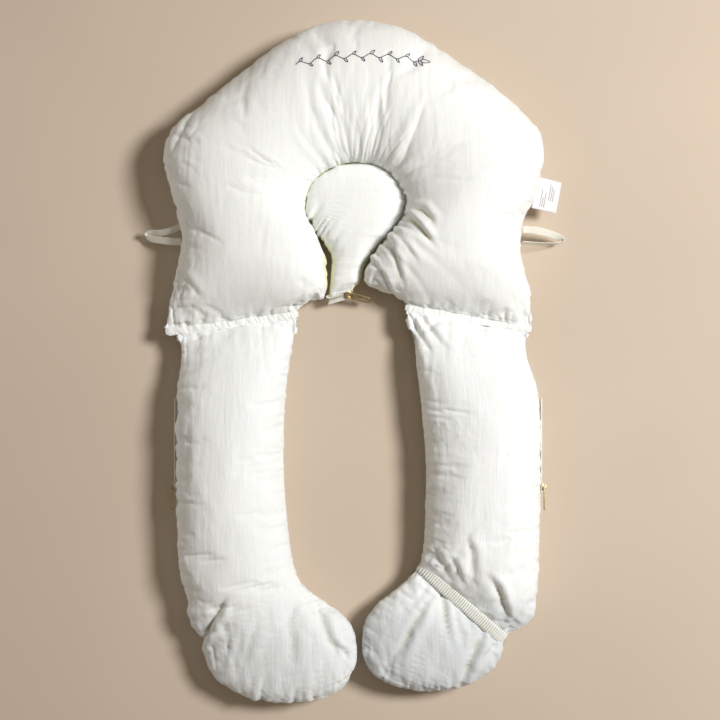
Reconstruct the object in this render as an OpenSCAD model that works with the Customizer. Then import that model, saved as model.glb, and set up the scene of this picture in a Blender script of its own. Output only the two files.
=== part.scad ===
// Nursing pillow: a horseshoe head bolster, a bulb-shaped head pad in its hollow, and two long
// side arms with turned-in tips. Millimetres, +Z up, the pillow lying on its base at z = 0.

/* [Cushions] */
// Height of the side seams above the bed
seam_z = 36; // [30:1:42]
// Height of the bolster's crown above its side seam
bolster_crown = 56; // [44:1:64]
// Height of an arm's crown above its side seam
arm_crown = 40; // [32:1:46]
// Height of a tip's crown above its side seam
tip_crown = 26; // [20:1:30]
// Height of the crown where an arm is pinched off from its tip
pinch_crown = 12; // [10:1:16]
// Height of the head pad's side seam above the bed
pad_seam_z = 26; // [24:1:28]
// Height of the head pad's crown above its side seam
pad_crown = 26; // [20:1:28]
// Thickness of the double-gauze covers
cover_t = 1; // [0.8:0.1:1.4]
// Slack between a cover and its stuffing
cover_slack = 0.3; // [0.2:0.1:0.5]

/* [Arm seams] */
// Width of the flat band that joins an arm to the bolster
band_w = 6; // [4:0.5:6]
// Thickness of that band
band_t = 1.6; // [1:0.2:2]

/* [Elastic] */
// Width of the gathered casing
elastic_w = 12; // [9:0.5:14]
// Thickness of one layer of the gathered casing
casing_t = 0.8; // [0.6:0.1:1]
// Thickness of the elastic tape inside
elastic_t = 1.2; // [0.8:0.1:1.4]

/* [Zips] */
// Length of a side zip on an arm
arm_zip_len = 110; // [80:5:120]
// Length of the zip across the end of the head pad's neck
pad_zip_len = 32; // [28:1:34]
// Distance from one tooth to the next
tooth_pitch = 2; // [1.6:0.1:3]
// Width of one zip tape
tape_w = 5; // [4:0.5:6]
// Gap between the two rows of teeth, where the slider's post runs
row_gap = 1.2; // [1:0.1:1.6]

/* [Loops and label] */
// Width of the loop tape
loop_w = 9; // [7:0.5:10]
// Thickness of the loop tape
loop_t = 1.2; // [1:0.1:1.6]
// Distance from the left loop's root to its far end
left_loop_len = 41; // [38:1:44]
// Distance from the right loop's root to its far end
right_loop_len = 52; // [46:1:54]
// Width of a loop across its hole, outside
loop_across = 15; // [13:0.5:18]
// Length of the care label along the seam
label_len = 34; // [28:1:40]
// How far the care label stands out of the seam
label_w = 21; // [16:1:25]
// Thickness of the care label
label_t = 0.6; // [0.5:0.1:0.8]

/* [Hidden] */
$fn = 48;

half_steps = 8;         // facets over one panel, from side seam to side seam
base_flat = 1.3;        // how much of a base is flat on the bed: 1 is none
edge_h = 3;             // half the thickness of a cushion where it is sewn shut
tooth_w = 1.6;          // one tooth across its row
tooth_l = 1.1;          // one tooth along its row
tooth_h = 1.2;
tape_t = 0.7;
slider_l = 8;
slider_w = 7.4;
plate_t = 1;
slide_gap = 0.3;        // running clearance of a slider on tapes and teeth
bail_t = 1.6;
bail_l = 5;
bail_h = 3.2;
pull_l = 28;
pull_w = 7;
pull_t = 1.1;

CREAM = [0.96, 0.95, 0.91];
STUFF = [0.98, 0.98, 0.97];
NYLON = [0.97, 0.96, 0.93];
BRASS = [0.78, 0.68, 0.46];
THREAD = [0.35, 0.36, 0.42];
LABEL = [0.97, 0.97, 0.98];

// A cushion is a list of stations. Each station is one section: the plan positions of the two
// side seams, [x, y] then [x, y], the crown's height above the seam and the belly's depth below it.

// Outer seam then inner seam, from the left arm's seam round the head to the right arm's seam
BOLSTER = [
    [-222,  37, -66,  58, edge_h, edge_h],
    [-219,  58, -58,  66, 0.46 * bolster_crown, 24],
    [-214,  88, -42,  84, 0.8 * bolster_crown, seam_z],
    [-206, 135, -38, 118, bolster_crown, seam_z],
    [-213, 190, -50, 152, bolster_crown, seam_z],
    [-223, 245, -58, 185, bolster_crown, seam_z],
    [-192, 300, -49, 210, bolster_crown, seam_z],
    [-122, 352, -27, 226, bolster_crown, seam_z],
    [ -12, 400,  -2, 232, bolster_crown, seam_z],
    [  85, 374,  25, 227, bolster_crown, seam_z],
    [ 165, 308,  47, 211, bolster_crown, seam_z],
    [ 217, 250,  57, 186, bolster_crown, seam_z],
    [ 210, 190,  47, 160, bolster_crown, seam_z],
    [ 195, 140,  25, 130, bolster_crown, seam_z],
    [ 200,  92,   6,  94, 0.8 * bolster_crown, seam_z],
    [ 204,  62,  40,  74, 0.46 * bolster_crown, 24],
    [ 206,  40,  58,  66, edge_h, edge_h]];

// Left side then right side, from the top of the bulb down to the root of its neck
BULB = [
    [-12, 228,   8, 228, 3, 3],
    [-32, 219,  30, 219, 0.6 * pad_crown, 18],
    [-47, 203,  46, 203, 0.9 * pad_crown, pad_seam_z],
    [-54, 183,  53, 184, pad_crown, pad_seam_z],
    [-46, 160,  42, 162, pad_crown, pad_seam_z],
    [-33, 138,  22, 140, 0.9 * pad_crown, pad_seam_z],
    [-31, 131,  16, 133, 0.8 * pad_crown, pad_seam_z]];

// Left side then right side, from the neck's root to its end
NECK = [
    [-31, 130,  15, 132, 0.8 * pad_crown, pad_seam_z],
    [-29, 112,   5, 115, 0.75 * pad_crown, pad_seam_z],
    [-29,  96,   0, 102, 0.6 * pad_crown, pad_seam_z],
    [-30,  86,  -2,  94, 0.3 * pad_crown, 11],
    [-31,  81,  -4,  89, 3, 3]];

// Outer side then inner side, from the bolster down to the pinch
LEFT_ARM = [
    [-208,  30,  -68,  49, edge_h, edge_h],
    [-206,  12,  -70,  30, 0.4 * arm_crown, 15],
    [-207, -25,  -76, -12, 0.85 * arm_crown, 33],
    [-207, -75,  -81, -62, arm_crown, seam_z],
    [-207, -125, -82, -112, arm_crown, seam_z],
    [-206, -180, -80, -160, arm_crown, seam_z],
    [-202, -235, -76, -200, 0.95 * arm_crown, seam_z],
    [-192, -290, -71, -228, 0.7 * arm_crown, seam_z],
    [-172, -330, -68, -246, pinch_crown, seam_z]];
RIGHT_ARM = [
    [ 202,  31,   60,  56, edge_h, edge_h],
    [ 201,  13,   64,  37, 0.4 * arm_crown, 15],
    [ 208, -25,   71, -12, 0.85 * arm_crown, 33],
    [ 213, -75,   76, -62, arm_crown, seam_z],
    [ 213, -125,  80, -112, arm_crown, seam_z],
    [ 213, -180,  82, -160, arm_crown, seam_z],
    [ 212, -235,  79, -204, 0.95 * arm_crown, seam_z],
    [ 203, -290,  76, -226, 0.7 * arm_crown, seam_z],
    [ 176, -324,  74, -240, pinch_crown, seam_z]];

// Outer side then inner side, from the pinch round to the rounded end
LEFT_TIP = [
    [-171, -331,  -67, -247, pinch_crown, seam_z],
    [-166, -358,  -40, -268, 0.85 * tip_crown, seam_z],
    [-144, -384,  -14, -290, tip_crown, seam_z],
    [-104, -399,    2, -322, tip_crown, seam_z],
    [ -62, -398,    2, -352, 0.75 * tip_crown, 32],
    [ -32, -386,  -10, -372, 6, 10]];
RIGHT_TIP = [
    [ 175, -325,   73, -241, pinch_crown, seam_z],
    [ 169, -350,   46, -262, 0.85 * tip_crown, seam_z],
    [ 148, -372,   22, -286, tip_crown, seam_z],
    [ 108, -386,    9, -316, tip_crown, seam_z],
    [  64, -388,    7, -344, 0.75 * tip_crown, 32],
    [  36, -378,   15, -364, 6, 10]];

// Seam lines between bolster and arms, outer end then inner end, in plan
LEFT_SEAM = [[-222, 37], [-66, 58]];
RIGHT_SEAM = [[206, 40], [58, 66]];

// ---- cushions ----

// A smooth curve through a list of stations, at a place between 0 and the last index
function along(list, at) =
    let (last = len(list) - 1, i = min(floor(at), last - 1), f = at - i,
         a = list[max(i - 1, 0)], b = list[i], c = list[i + 1], d = list[min(i + 2, last)])
    0.5 * (2 * b + (c - a) * f + (2 * a - 5 * b + 4 * c - d) * pow(f, 2)
        + (3 * b - a - 3 * c + d) * pow(f, 3));

// A point of a section at an angle: 0 and 180 are the side seams, 90 the crown, 270 the belly.
// inset moves it inwards by that many millimetres.
function section_point(s, angle, mid_z, inset = 0) =
    let (p = [s[0], s[1]], q = [s[2], s[3]], half = norm(p - q) / 2,
         plan = (p + q) / 2 + (p - q) / 2 * cos(angle) * (half - inset) / half,
         rise = angle <= 180
            ? max(0, s[4] - inset) * sin(angle)
            : -max(0, min(s[5], mid_z) - inset) * min(1, base_flat * -sin(angle)))
    [plan[0], plan[1], mid_z + rise];

// Closed sections of the whole cushion, of its top half and of its base half
function whole_ring(s, mid_z, inset) =
    [for (k = [0 : 2 * half_steps - 1]) section_point(s, 180 * k / half_steps, mid_z, inset)];
function panel_ring(s, mid_z, inset, side) = concat(
    [for (k = [0 : half_steps]) section_point(s, side + 180 * k / half_steps, mid_z)],
    [for (k = [half_steps : -1 : 0]) section_point(s, side + 180 * k / half_steps, mid_z, inset)]);

// The two ends of a cover are sewn nearly shut: there its inner face drops to the seam plane
function shut_ring(s, mid_z, inset, side) =
    let (open = panel_ring(s, mid_z, inset, side), shut = 0.2)
    [for (k = [0 : len(open) - 1])
        [open[k][0], open[k][1], mid_z + (open[k][2] - mid_z) * (k <= half_steps ? 1 : shut)]];

// A closed solid through rings that have the same even number of points. An end is a ladder of
// quads between the ring's first half and its second half. Two surfaces that face each other
// run round their rings in opposite directions, so one of them splits its quads the other way.
module loft(rings, other_way = false) {
    n = len(rings[0]);
    top = (len(rings) - 1) * n;
    sides = [for (i = [0 : len(rings) - 2], k = [0 : n - 1])
        let (a = i * n + k, b = i * n + (k + 1) % n)
        each other_way ? [[a, b, a + n], [b, b + n, a + n]] : [[a, b, b + n], [a, b + n, a + n]]];
    ends = [for (k = [0 : n / 2 - 2])
        let (a = k, b = k + 1, c = n - 2 - k, d = n - 1 - k)
        each [[c, b, a], [d, c, a], [top + a, top + b, top + c], [top + a, top + c, top + d]]];
    polyhedron([for (r = rings) each r], concat(sides, ends), convexity = 6);
}

module stuffing(stations, mid_z, steps) {
    inset = cover_t + cover_slack;
    loft([for (i = [1 : steps - 1])
        whole_ring(along(stations, i * (len(stations) - 1) / steps), mid_z, inset)], true);
}

// side 0 is the top panel, 180 the base panel
module panel(stations, mid_z, steps, side) {
    loft([for (i = [0 : steps])
        let (s = along(stations, i * (len(stations) - 1) / steps))
        i == 0 || i == steps ? shut_ring(s, mid_z, cover_t, side) : panel_ring(s, mid_z, cover_t, side)]);
}

bolster_steps = 40;
arm_steps = 18;
tip_steps = 12;
bulb_steps = 14;
neck_steps = 8;

module bolster_top_panel() { color(CREAM) panel(BOLSTER, seam_z, bolster_steps, 0); }
module bolster_base_panel() { color(CREAM) panel(BOLSTER, seam_z, bolster_steps, 180); }
module bolster_stuffing() { color(STUFF) stuffing(BOLSTER, seam_z, bolster_steps); }
module bulb_top_panel() { color(CREAM) panel(BULB, pad_seam_z, bulb_steps, 0); }
module bulb_base_panel() { color(CREAM) panel(BULB, pad_seam_z, bulb_steps, 180); }
module bulb_stuffing() { color(STUFF) stuffing(BULB, pad_seam_z, bulb_steps); }
module neck_top_panel() { color(CREAM) panel(NECK, pad_seam_z, neck_steps, 0); }
module neck_base_panel() { color(CREAM) panel(NECK, pad_seam_z, neck_steps, 180); }
module neck_stuffing() { color(STUFF) stuffing(NECK, pad_seam_z, neck_steps); }
module arm_panel(stations, side) { color(CREAM) panel(stations, seam_z, arm_steps, side); }
module arm_stuffing(stations) { color(STUFF) stuffing(stations, seam_z, arm_steps); }
module tip_panel(stations, side) { color(CREAM) panel(stations, seam_z, tip_steps, side); }
module tip_stuffing(stations) { color(STUFF) stuffing(stations, seam_z, tip_steps); }

// ---- seam bands ----

module seam_band(seam) {
    run = seam[1] - seam[0];
    turn = atan2(run[1], run[0]);
    down = run[0] > 0 ? -1 : 1;       // towards the arm
    color(CREAM)
        translate([seam[0][0], seam[0][1], seam_z - band_t / 2])
            rotate(turn)
                translate([0, down > 0 ? 0.5 : -0.5 - band_w, 0])
                    cube([norm(run), band_w, band_t]);
}

// ---- stitched motif ----

motif_from = 7.37;      // places along the bolster's stations
motif_to = 9.15;
motif_loops = 11;
motif_r = 0.6;

// A looping line of thread on the bolster's crown
function motif_point(t, lift) =
    let (turn = 360 * motif_loops * t,
         at = motif_from + (motif_to - motif_from) * t + 0.05 * sin(turn),
         angle = 61 - 60 * pow(t - 0.4, 2) + 3 * cos(turn))
    section_point(along(BOLSTER, at), angle, seam_z, -lift);

module stitched_motif() {
    steps = 8 * motif_loops;
    rings = [for (i = [0 : steps])
        let (here = motif_point(i / steps, motif_r + 0.5),
             ahead = motif_point((i + 0.5) / steps, motif_r + 0.5),
             up = motif_point(i / steps, motif_r + 1.5) - here,
             run = (ahead - here) / norm(ahead - here),
             out = cross(run, up) / norm(cross(run, up)),
             rise = cross(out, run))
        [for (k = [0 : 5]) here + motif_r * (cos(60 * k) * out + sin(60 * k) * rise)]];
    color(THREAD) loft(rings);
}

// ---- elastic ----

elastic_at = 7.9;       // place of its lower edge along the right arm's stations
station_gap = 28.5;     // mean distance between the two last stations
station_fan = 14.5;     // how much wider that is at the outer side, and narrower at the inner
layer_gap = 0.7;

// A strip over the arm's crown, from one part of the elastic's width to another, and from one
// height above the cover to another
module crown_strip(low, high, from, to) {
    ends = [12, 168];
    steps = 14;
    function edge(part, lift) = [for (k = [0 : steps])
        let (angle = ends[0] + (ends[1] - ends[0]) * k / steps,
             back = part * elastic_w / (station_gap + station_fan * cos(angle)))
        section_point(along(RIGHT_ARM, elastic_at - back), angle, seam_z, -lift)];
    a = edge(from, low);
    b = edge(to, low);
    c = edge(to, high);
    d = edge(from, high);
    loft([for (k = [0 : steps]) [a[k], b[k], c[k], d[k]]]);
}

core_low = casing_t + 2 * layer_gap;

module elastic_casing() {
    color(CREAM) {
        crown_strip(layer_gap, layer_gap + casing_t, 0, 1);
        crown_strip(core_low + elastic_t + layer_gap, core_low + elastic_t + layer_gap + casing_t, 0, 1);
    }
}
module elastic_core() { color(NYLON) crown_strip(core_low, core_low + elastic_t, 0.1, 0.9); }

// ---- zips: x runs along the teeth, z points out of the cover ----

module zip_tapes(length) {
    color(CREAM)
        for (side = [-1, 1])
            translate([-length / 2, side > 0 ? row_gap / 2 : -row_gap / 2 - tape_w, 0])
                cube([length, tape_w, tape_t]);
}

module zip_teeth(length) {
    count = floor((length - 6) / tooth_pitch);
    color(NYLON)
        for (k = [0 : count], side = [-1, 1])
            translate([
                (k - count / 2) * tooth_pitch - tooth_l / 2 + side * tooth_pitch / 4,
                side > 0 ? row_gap / 2 : -row_gap / 2 - tooth_w,
                tape_t + 0.02])
                cube([tooth_l, tooth_w, tooth_h]);
}

module zip_stops(length) {
    color(NYLON)
        for (end = [-1, 1], side = [-1, 1])
            translate([
                end * (length / 2 - 1.2) - 0.7,
                side > 0 ? row_gap / 2 : -row_gap / 2 - tooth_w - 0.6,
                tape_t + 0.02])
                cube([1.4, tooth_w + 0.6, tooth_h + 0.3]);
}

// The slider's two plates and the post between the rows of teeth, with a bail on top
module zip_slider() {
    top = tape_t + tooth_h + slide_gap;
    rail = tooth_w + row_gap / 2 + slide_gap;
    color(BRASS) {
        difference() {
            union() {
                translate([-slider_l / 2, -slider_w / 2, tape_t + slide_gap])
                    cube([slider_l, slider_w, top - tape_t - slide_gap + plate_t]);
                translate([-slider_l / 2, -slider_w / 2, -slide_gap - plate_t])
                    cube([slider_l, slider_w, plate_t]);
                translate([-slider_l / 4, -0.3, -slide_gap - plate_t / 2])
                    cube([slider_l / 2, 0.6, top + plate_t]);
            }
            for (side = [0, 1])
                mirror([0, side, 0])
                    translate([-slider_l, 0.3, -slide_gap])
                        cube([2 * slider_l, rail - 0.3, top + slide_gap]);
            translate([-slider_l, -row_gap, -slide_gap])
                cube([slider_l * 0.75, 2 * row_gap, top + slide_gap]);
            translate([slider_l / 4, -row_gap, -slide_gap])
                cube([slider_l, 2 * row_gap, top + slide_gap]);
        }
        translate([0, 0, top + plate_t])
            difference() {
                translate([-bail_l / 2, -bail_t / 2, -0.2])
                    cube([bail_l, bail_t, bail_h + 0.2]);
                translate([-bail_l / 2 + 1.2, -bail_t, 0.4])
                    cube([bail_l - 2.4, 2 * bail_t, bail_h - 1.5]);
            }
    }
}

pull_axis_z = tape_t + tooth_h + slide_gap + plate_t + 0.4 + (bail_h - 1.5) / 2;

// The pull tab: its eye goes round the bail, and a slot lightens the far end
module zip_pull() {
    eye_l = 5;
    color(BRASS)
        translate([0, 0, pull_axis_z]) {
            rotate([90, 0, 0])
                cylinder(h = pull_w - 1, d = 1, center = true);
            difference() {
                union() {
                    translate([0, -pull_w / 2, -pull_t / 2])
                        cube([pull_l - pull_w / 2, pull_w, pull_t]);
                    translate([pull_l - pull_w / 2, 0, -pull_t / 2])
                        cylinder(h = pull_t, d = pull_w);
                    rotate([90, 0, 0])
                        cylinder(h = pull_w, d = pull_t, center = true);
                }
                translate([-pull_t, -pull_w / 2 + 1, -pull_t])
                    cube([eye_l + pull_t, pull_w - 2, 2 * pull_t]);
                translate([pull_l - pull_w - 4, -0.9, -pull_t])
                    cube([5, 1.8, 2 * pull_t]);
                translate([pull_l - pull_w + 1, 0, -pull_t])
                    cylinder(h = 2 * pull_t, d = 1.8);
                translate([pull_l - pull_w - 4, 0, -pull_t])
                    cylinder(h = 2 * pull_t, d = 1.8);
            }
        }
}

// Where each zip lies
module at_pad_zip() {
    translate([-18, 77, 23]) rotate(17) rotate([20, 0, 0]) children();
}
module at_left_zip() {
    translate([-208.9, -97, seam_z]) rotate([0, -90, 0]) rotate(-90) children();
}
module at_right_zip() {
    translate([214.9, -97, seam_z]) rotate([0, 90, 0]) rotate(-90) children();
}
pad_slider_x = 9;           // each slider is parked at its zip's closed end
arm_slider_x = 48;
pad_pull_turn = -32;        // the pull lies askew in its bail

// ---- loops and label ----

module stadium(length, across) {
    square([length - across, across], center = true);
    for (end = [-1, 1])
        translate([end * (length - across) / 2, 0])
            circle(d = across);
}

// A folded tape that stands out of the side seam and droops to the bed. side -1 is the left one.
module side_loop(root, side, length, droop) {
    twist = 35;
    color(CREAM)
        translate(root)
            rotate([0, side * droop, 0])
                translate([side * length / 2, 0, 0])
                    rotate([twist, 0, 0])
                        translate([0, 0, -loop_w / 2])
                            linear_extrude(loop_w)
                                difference() {
                                    stadium(length, loop_across);
                                    stadium(length - 2 * loop_t, loop_across - 2 * loop_t);
                                }
}

module care_label() {
    droop = 20;
    color(LABEL)
        translate([211, 181, seam_z])
            rotate(-11)
                rotate([0, droop, 0])
                    translate([0, 0, -label_t / 2])
                        cube([label_w, label_len, label_t]);
}

// ---- nodes ----

bolster_top_panel();
bolster_base_panel();
bolster_stuffing();
stitched_motif();
bulb_top_panel();
bulb_base_panel();
bulb_stuffing();
neck_top_panel();
neck_base_panel();
neck_stuffing();
at_pad_zip() zip_tapes(pad_zip_len);  // pad_zip_tapes
at_pad_zip() zip_teeth(pad_zip_len);  // pad_zip_teeth
at_pad_zip() zip_stops(pad_zip_len);  // pad_zip_stops
at_pad_zip() translate([pad_slider_x, 0, 0]) zip_slider();  // pad_zip_slider
at_pad_zip() translate([pad_slider_x, 0, 0]) rotate(pad_pull_turn) zip_pull();  // pad_zip_pull
seam_band(LEFT_SEAM);  // left_seam_band
seam_band(RIGHT_SEAM);  // right_seam_band
arm_panel(LEFT_ARM, 0);  // left_arm_top_panel
arm_panel(LEFT_ARM, 180);  // left_arm_base_panel
arm_stuffing(LEFT_ARM);  // left_arm_stuffing
at_left_zip() zip_tapes(arm_zip_len);  // left_zip_tapes
at_left_zip() zip_teeth(arm_zip_len);  // left_zip_teeth
at_left_zip() zip_stops(arm_zip_len);  // left_zip_stops
at_left_zip() translate([arm_slider_x, 0, 0]) zip_slider();  // left_zip_slider
at_left_zip() translate([arm_slider_x, 0, 0]) zip_pull();  // left_zip_pull
tip_panel(LEFT_TIP, 0);  // left_tip_top_panel
tip_panel(LEFT_TIP, 180);  // left_tip_base_panel
tip_stuffing(LEFT_TIP);  // left_tip_stuffing
arm_panel(RIGHT_ARM, 0);  // right_arm_top_panel
arm_panel(RIGHT_ARM, 180);  // right_arm_base_panel
arm_stuffing(RIGHT_ARM);  // right_arm_stuffing
at_right_zip() zip_tapes(arm_zip_len);  // right_zip_tapes
at_right_zip() zip_teeth(arm_zip_len);  // right_zip_teeth
at_right_zip() zip_stops(arm_zip_len);  // right_zip_stops
at_right_zip() translate([arm_slider_x, 0, 0]) zip_slider();  // right_zip_slider
at_right_zip() translate([arm_slider_x, 0, 0]) zip_pull();  // right_zip_pull
tip_panel(RIGHT_TIP, 0);  // right_tip_top_panel
tip_panel(RIGHT_TIP, 180);  // right_tip_base_panel
tip_stuffing(RIGHT_TIP);  // right_tip_stuffing
elastic_casing();
elastic_core();
side_loop([-208.5, 145, 31], -1, left_loop_len, 29);  // left_loop
side_loop([197.5, 145, 31], 1, right_loop_len, 24);  // right_loop
care_label();
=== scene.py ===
"""Looks of the nursing pillow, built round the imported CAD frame.

Lengths in the shape lists are millimetres in the row frame: x to the right, y towards the head
bolster, z up from the bed. Blender objects are in metres.
"""

import math

import bmesh
import bpy
import numpy as np
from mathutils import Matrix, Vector
from mathutils.bvhtree import BVHTree


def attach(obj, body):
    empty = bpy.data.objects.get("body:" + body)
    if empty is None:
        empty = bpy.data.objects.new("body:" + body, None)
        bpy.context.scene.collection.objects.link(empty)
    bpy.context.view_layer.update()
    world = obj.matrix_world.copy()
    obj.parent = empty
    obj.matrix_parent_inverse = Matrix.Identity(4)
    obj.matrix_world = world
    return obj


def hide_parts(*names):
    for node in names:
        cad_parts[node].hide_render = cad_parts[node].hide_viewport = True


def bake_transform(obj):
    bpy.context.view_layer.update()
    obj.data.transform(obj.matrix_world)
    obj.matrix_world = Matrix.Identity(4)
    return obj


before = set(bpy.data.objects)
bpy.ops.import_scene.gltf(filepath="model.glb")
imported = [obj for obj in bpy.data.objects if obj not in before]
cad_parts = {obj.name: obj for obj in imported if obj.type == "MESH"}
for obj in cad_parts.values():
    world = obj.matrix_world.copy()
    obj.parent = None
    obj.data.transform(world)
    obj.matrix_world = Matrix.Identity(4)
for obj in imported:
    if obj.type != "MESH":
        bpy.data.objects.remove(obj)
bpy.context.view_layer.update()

MM = 0.001
SEAM_Z = 36.0  # height of the side seams of bolster and arms
PAD_SEAM_Z = 26.0  # and of the pad
WELT = 1.6  # half the thickness of a chamber where it is sewn shut
BASE_FLAT = 1.2  # how much of a chamber's base is flat on the bed: 1 is none
EVENING = 14  # passes that even out a grid's values

# ---- chambers
# A station is one cross-section: x, y of the seam on one side, x, y on the other, crown above the
# seams, belly below them. A belly that is left out reaches down to the bed.

BOLSTER = [  # outer seam, then inner seam, from the left arm's seam round the head
    (-221, 38, -67, 59, 3.4, 3.4), (-219, 57, -57, 68, 17, 25), (-216, 76, -40, 72, 30, 34),
    (-211, 98, -34, 83, 42), (-205, 125, -35, 102, 51), (-203, 150, -38, 128, 54),
    (-209, 176, -46, 151, 56), (-217, 205, -55, 168, 57), (-223, 240, -57, 186, 57),
    (-212, 273, -52, 202, 57), (-175, 304, -42, 215, 56), (-135, 336, -30, 223, 55),
    (-93, 368, -18, 228, 54), (-46, 391, -7, 230, 53), (3, 398, 3, 231, 53), (50, 390, 13, 229, 53),
    (97, 364, 23, 226, 54), (152, 326, 35, 219, 55), (198, 286, 46, 208, 56), (217, 258, 54, 196, 57),
    (218, 230, 57, 184, 57), (208, 190, 51, 166, 57), (196, 163, 40, 150, 56), (193, 132, 26, 135, 54),
    (197, 108, 16, 118, 51), (202, 90, 9, 101, 42, 35), (204, 73, 15, 87, 31, 32),
    (205, 57, 40, 79, 18, 25), (205, 41, 59, 67, 3.4, 3.4)]

PAD = [  # left seam, then right seam, from the top of the bulb to the end of the neck
    (-8, 232.7, 14, 232.7, 6, 6), (-27, 227.7, 31, 227.7, 18, 18), (-44, 217, 45, 217, 24, 24),
    (-55.1, 202.3, 55.1, 202.3, 27), (-60.7, 184, 60.2, 186, 28), (-57, 165.6, 54.6, 166.6, 28),
    (-47, 149.6, 41.6, 149.2, 26), (-35.5, 137, 28.5, 135.5, 23), (-28.5, 123, 17, 123, 20, 24),
    (-28, 108, 9.5, 109.5, 18, 22), (-29, 93, 4.5, 96, 16, 20), (-30.5, 83, 0.5, 89, 11, 13),
    (-31, 76, -3, 84, 3, 3)]

LEFT_ARM = [  # outer seam, then inner seam, from the bolster to the rounded end of the tip
    (-207, 31.5, -66, 50.5, 3.4, 3.4), (-204, 16, -69, 36, 14, 14), (-204, 0, -72, 20, 23, 22),
    (-208, -30, -77, -10, 34, 32), (-210.5, -70, -81, -50, 40), (-210.5, -110, -82, -90, 41),
    (-210.5, -150, -82, -128, 41), (-208.5, -190, -80, -165, 40), (-207, -225, -76, -203, 38),
    (-203, -255, -72, -230, 35), (-196, -277, -66, -250, 32), (-197, -291, -57, -262, 29, 35),
    (-190, -309, -45, -271, 27, 34), (-179, -326, -30, -281, 27, 35), (-176, -343, -14, -294, 26),
    (-169, -361, -3, -308, 25), (-154, -376, 2, -325, 23), (-130, -389, 3, -342, 21, 35),
    (-104, -396, -2, -361, 17, 32), (-78, -397, -14, -379, 11, 22), (-58, -395, -30, -388, WELT, WELT)]

RIGHT_ARM = [
    (200, 33.5, 57, 58.5, 3.4, 3.4), (199, 18, 62, 44, 14, 14), (202, 0, 66, 22, 23, 22),
    (212, -30, 70, -8, 34, 32), (216.5, -70, 75, -48, 40), (216.5, -110, 79, -90, 41),
    (216.5, -150, 81, -128, 41), (215, -190, 80, -163, 40), (214, -225, 79, -194, 38),
    (213, -255, 78, -210, 35), (210, -284, 76, -223, 30), (203, -303, 74, -231, 24, 34),
    (180, -316, 70, -240, 16, 30), (175, -329, 58, -254, 15, 33), (171, -342, 42, -267, 20),
    (162, -356, 25, -281, 23), (147, -368, 13, -298, 23), (124, -379, 7, -317, 22, 35),
    (97, -384, 7, -338, 18, 32), (70, -383, 15, -357, 12, 22), (48, -378, 27, -368, WELT, WELT)]

LEFT_CURL = ((-67.5, -246.5), (-171.5, -330.5))  # hinge lines of the tips, in plan
RIGHT_CURL = ((73.5, -240.5), (175.5, -324.5))
BULB_CENTRE = (0.0, 183.0)


# ---- numbers
def hashed(ix, iy, seed):
    h = (ix * 374761393 + iy * 668265263 + seed * 974634777) & 0xFFFFFFFF
    h = ((h ^ (h >> 13)) * 1274126177) & 0xFFFFFFFF
    return ((h ^ (h >> 16)) & 0xFFFF) / 32767.5 - 1.0


def noise(x, y, seed):
    """Smooth noise from -1 to 1, with features about one unit across. Two lattices of random values
    are turned apart, so that the lines of neither show."""
    x, y = np.broadcast_arrays(np.asarray(x, float), np.asarray(y, float))
    total = 0.0
    for turn, lattice in ((0.61, seed), (-0.35, seed + 7919)):
        u = x * math.cos(turn) + y * math.sin(turn)
        v = y * math.cos(turn) - x * math.sin(turn)
        u0, v0 = np.floor(u).astype(np.int64), np.floor(v).astype(np.int64)
        fu, fv = u - u0, v - v0
        fu, fv = fu * fu * (3 - 2 * fu), fv * fv * (3 - 2 * fv)
        low = hashed(u0, v0, lattice) * (1 - fu) + hashed(u0 + 1, v0, lattice) * fu
        high = hashed(u0, v0 + 1, lattice) * (1 - fu) + hashed(u0 + 1, v0 + 1, lattice) * fu
        total = total + 0.75 * (low * (1 - fv) + high * fv)
    return total


def smooth(a, b, x):
    t = np.clip((x - a) / (b - a), 0, 1)
    return t * t * (3 - 2 * t)


def bell(d, wide):
    """1 where d is nought, fading over a width to either side."""
    return np.exp(-((d / wide) ** 2))


def valleys(u, v, seed, sharp=0.3):
    """Narrow valleys about one unit apart in u and long in v: 1 in a valley, 0 between them."""
    return bell(noise(u, v, seed), sharp)


def gathers(s, d, pitch, reach, seed):
    """Folds that start at a seam: s runs along it and d away from it. Round crests, sharp valleys."""
    s = s + 0.5 * pitch * noise(s / (2.5 * pitch), d / reach, seed + 1)
    length = reach * (0.65 + 0.5 * noise(s / (1.3 * pitch), 0.3, seed + 2))
    big = valleys(s / pitch, d / (2.5 * reach), seed, 0.26)
    small = valleys(s / (0.45 * pitch), d / (1.3 * reach), seed + 3)
    return (0.45 - big - 0.4 * small) * bell(d, length)


def fan(x, y, centre, pitch, first, reach, seed, cut=-90.0):
    """Gathers that radiate from a centre, from the radius first on. pitch is in degrees; cut is a
    bearing with no cloth."""
    dx, dy = x - centre[0], y - centre[1]
    bearing = (np.degrees(np.arctan2(dy, dx)) - cut) % 360.0
    return gathers(bearing, np.maximum(np.hypot(dx, dy) - first, 0), pitch, reach, seed)


def crumple(x, y, size, seed, turns=(-34, -8, 22)):
    """Short sharp creases in a few directions, in patches, as in cloth that was pressed flat. turns
    are their angles from the y axis."""
    total = 0.0
    for k, angle in enumerate(turns):
        c, s = math.cos(math.radians(angle)), math.sin(math.radians(angle))
        u, v = x * c + y * s, y * c - x * s
        u = u + 0.5 * size * noise(u / (2 * size), v / (2 * size), seed + 20 + k)
        patch = smooth(0.0, 0.6, noise(x / (2.2 * size), y / (2.2 * size), seed + 10 + k))
        total = total - patch * valleys(u / size, v / (2.6 * size), seed + k, 0.17)
    return total


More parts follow.
